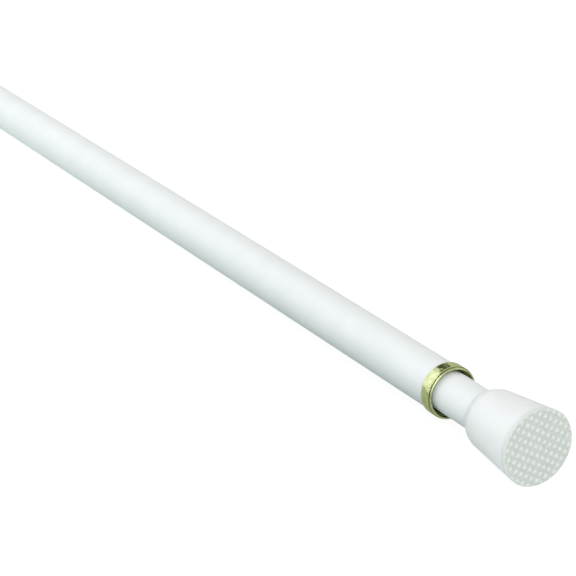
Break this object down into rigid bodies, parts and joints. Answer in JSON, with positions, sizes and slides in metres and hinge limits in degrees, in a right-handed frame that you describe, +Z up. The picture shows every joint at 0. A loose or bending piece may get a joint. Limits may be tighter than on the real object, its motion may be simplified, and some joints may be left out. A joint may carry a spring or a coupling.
{
  "type": "spring tension rod",
  "caption": "Telescoping spring tension rod: an enamelled tube pair with a brass trim ring, an inner twist lock and coil spring, and soft conical feet that press against facing walls.",
  "frame": {"origin": "middle of the far foot's face, in the plane of its pip tops", "axes": "+X along the rod's axis to the near foot's face, +Z up across the rod"},
  "size_m": [0.457, 0.0242, 0.0242],
  "materials": {
    "white_enamel": "satin white enamel over rolled steel tube",
    "polished_brass": "polished",
    "soft_vinyl": "matte soft white vinyl",
    "nylon": "matte natural nylon",
    "zinc_steel": "bright zinc plate",
    "spring_steel": "oiled spring wire"
  },
  "bodies": {
    "wide_half": {"outer_tube": "white_enamel", "trim_ring": "polished_brass", "far_foot": "soft_vinyl"},
    "grip": {"expander": "nylon"},
    "cone": {"wedge": "nylon"},
    "screw": {"lock_rod": "zinc_steel", "spring_seat": "zinc_steel", "seat_clip": "zinc_steel", "tip_clip": "zinc_steel"},
    "narrow_half": {"inner_tube": "white_enamel", "near_foot": "soft_vinyl", "guide_bush": "nylon", "spring_stop": "nylon", "spring": "spring_steel"}
  },
  "joints": [
    {"name": "extend", "type": "slide", "parent": "wide_half", "child": "grip", "axis": [1, 0, 0], "range_m": [0, 0.254]},
    {"name": "wedge_draw", "type": "slide", "parent": "grip", "child": "cone", "axis": [1, 0, 0], "range_m": [-0.001, 0]},
    {"name": "twist", "type": "hinge", "parent": "grip", "child": "screw", "pos_m": [0.04, 0, 0], "axis": [1, 0, 0], "range_deg": [-450, 0]},
    {"name": "spring_travel", "type": "slide", "parent": "screw", "child": "narrow_half", "axis": [1, 0, 0], "range_m": [-0.016, 0], "stiffness_N_per_m": 2560, "springref_m": 0.005, "deforming": ["spring"]}
  ],
  "couplings": [
    {"joint": "wedge_draw", "follows": "twist", "m_per_rad": 0.0001273}
  ]
}
